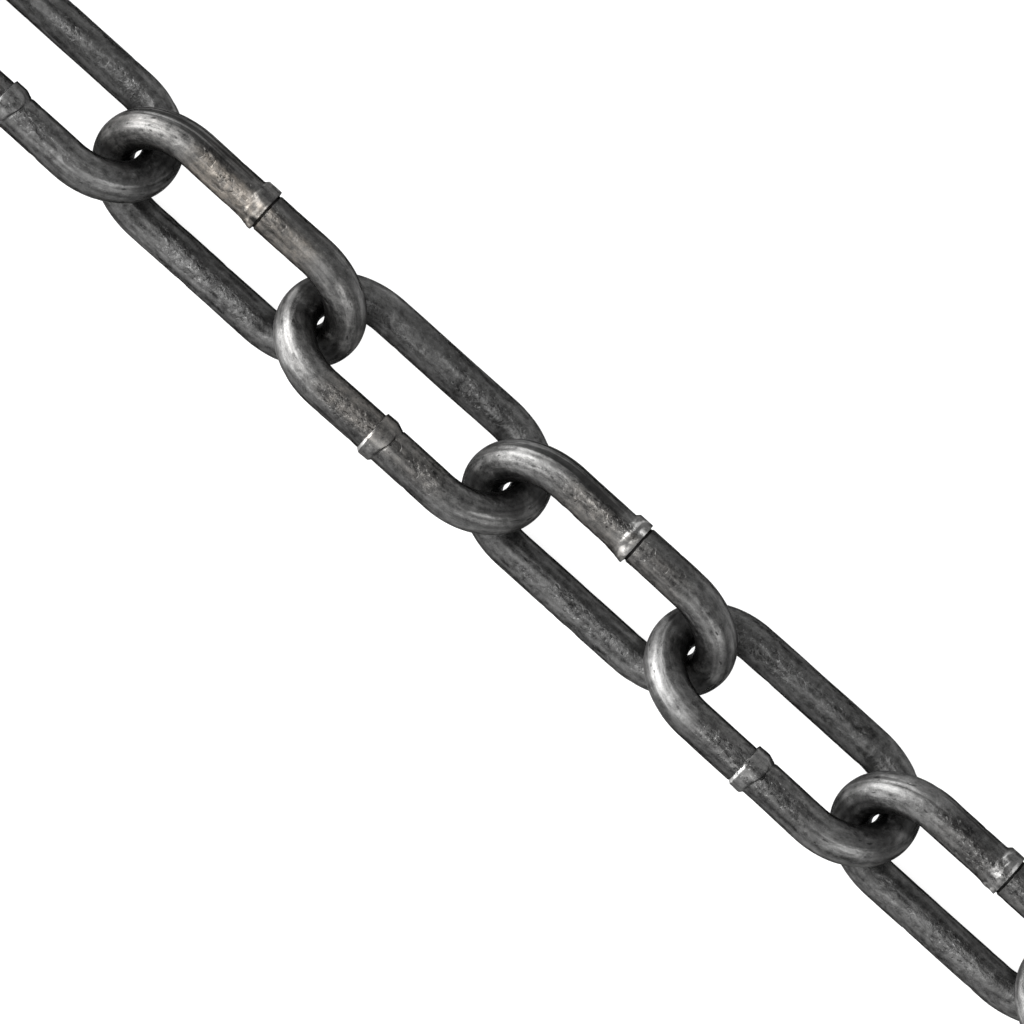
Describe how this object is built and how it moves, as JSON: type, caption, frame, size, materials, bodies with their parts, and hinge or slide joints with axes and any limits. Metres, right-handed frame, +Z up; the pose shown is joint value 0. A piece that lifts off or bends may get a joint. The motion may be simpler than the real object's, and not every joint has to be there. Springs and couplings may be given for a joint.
{
  "type": "length of iron chain",
  "caption": "Straight length of long-link welded iron chain, its links hooked through each other and lying on their lower legs, each free to swing in the one before.",
  "frame": {"origin": "on the ground under the middle of the chain", "axes": "+X along the chain, +Z up, +Y across it"},
  "size_m": [1.0036, 0.0434, 0.0424],
  "materials": {
    "black_iron": "black mill scale, dull and pitted, rubbed bright on the outer bends"
  },
  "bodies": {
    "link_1": {"link_1": "black_iron"},
    "link_2": {"link_2": "black_iron"},
    "link_3": {"link_3": "black_iron"},
    "link_4": {"link_4": "black_iron"},
    "link_5": {"link_5": "black_iron"},
    "link_6": {"link_6": "black_iron"},
    "link_7": {"link_7": "black_iron"},
    "link_8": {"link_8": "black_iron"},
    "link_9": {"link_9": "black_iron"},
    "link_10": {"link_10": "black_iron"},
    "link_11": {"link_11": "black_iron"},
    "link_12": {"link_12": "black_iron"},
    "link_13": {"link_13": "black_iron"}
  },
  "joints": [
    {"name": "link_8_swing", "type": "hinge", "parent": "link_7", "child": "link_8", "pos_m": [0.0445, 0, 0.02064], "axis": [0, -0.7071, 0.7071], "range_deg": [-135, 135]},
    {"name": "link_9_swing", "type": "hinge", "parent": "link_8", "child": "link_9", "pos_m": [0.1196, 0, 0.02064], "axis": [0, 0.7071, 0.7071], "range_deg": [-135, 135]},
    {"name": "link_10_swing", "type": "hinge", "parent": "link_9", "child": "link_10", "pos_m": [0.1947, 0, 0.02064], "axis": [0, 0.7071, -0.7071], "range_deg": [-135, 135]},
    {"name": "link_11_swing", "type": "hinge", "parent": "link_10", "child": "link_11", "pos_m": [0.2698, 0, 0.02064], "axis": [0, -0.7071, -0.7071], "range_deg": [-135, 135]},
    {"name": "link_12_swing", "type": "hinge", "parent": "link_11", "child": "link_12", "pos_m": [0.3449, 0, 0.02064], "axis": [0, -0.7071, 0.7071], "range_deg": [-135, 135]},
    {"name": "link_13_swing", "type": "hinge", "parent": "link_12", "child": "link_13", "pos_m": [0.42, 0, 0.02064], "axis": [0, 0.7071, 0.7071], "range_deg": [-135, 135]},
    {"name": "link_6_swing", "type": "hinge", "parent": "link_7", "child": "link_6", "pos_m": [-0.0306, 0, 0.02064], "axis": [0, 0.7071, 0.7071], "range_deg": [-135, 135]},
    {"name": "link_5_swing", "type": "hinge", "parent": "link_6", "child": "link_5", "pos_m": [-0.1057, 0, 0.02064], "axis": [0, -0.7071, 0.7071], "range_deg": [-135, 135]},
    {"name": "link_4_swing", "type": "hinge", "parent": "link_5", "child": "link_4", "pos_m": [-0.1808, 0, 0.02064], "axis": [0, -0.7071, -0.7071], "range_deg": [-135, 135]},
    {"name": "link_3_swing", "type": "hinge", "parent": "link_4", "child": "link_3", "pos_m": [-0.2559, 0, 0.02064], "axis": [0, 0.7071, -0.7071], "range_deg": [-135, 135]},
    {"name": "link_2_swing", "type": "hinge", "parent": "link_3", "child": "link_2", "pos_m": [-0.331, 0, 0.02064], "axis": [0, 0.7071, 0.7071], "range_deg": [-135, 135]},
    {"name": "link_1_swing", "type": "hinge", "parent": "link_2", "child": "link_1", "pos_m": [-0.4061, 0, 0.02064], "axis": [0, -0.7071, 0.7071], "range_deg": [-135, 135]}
  ]
}
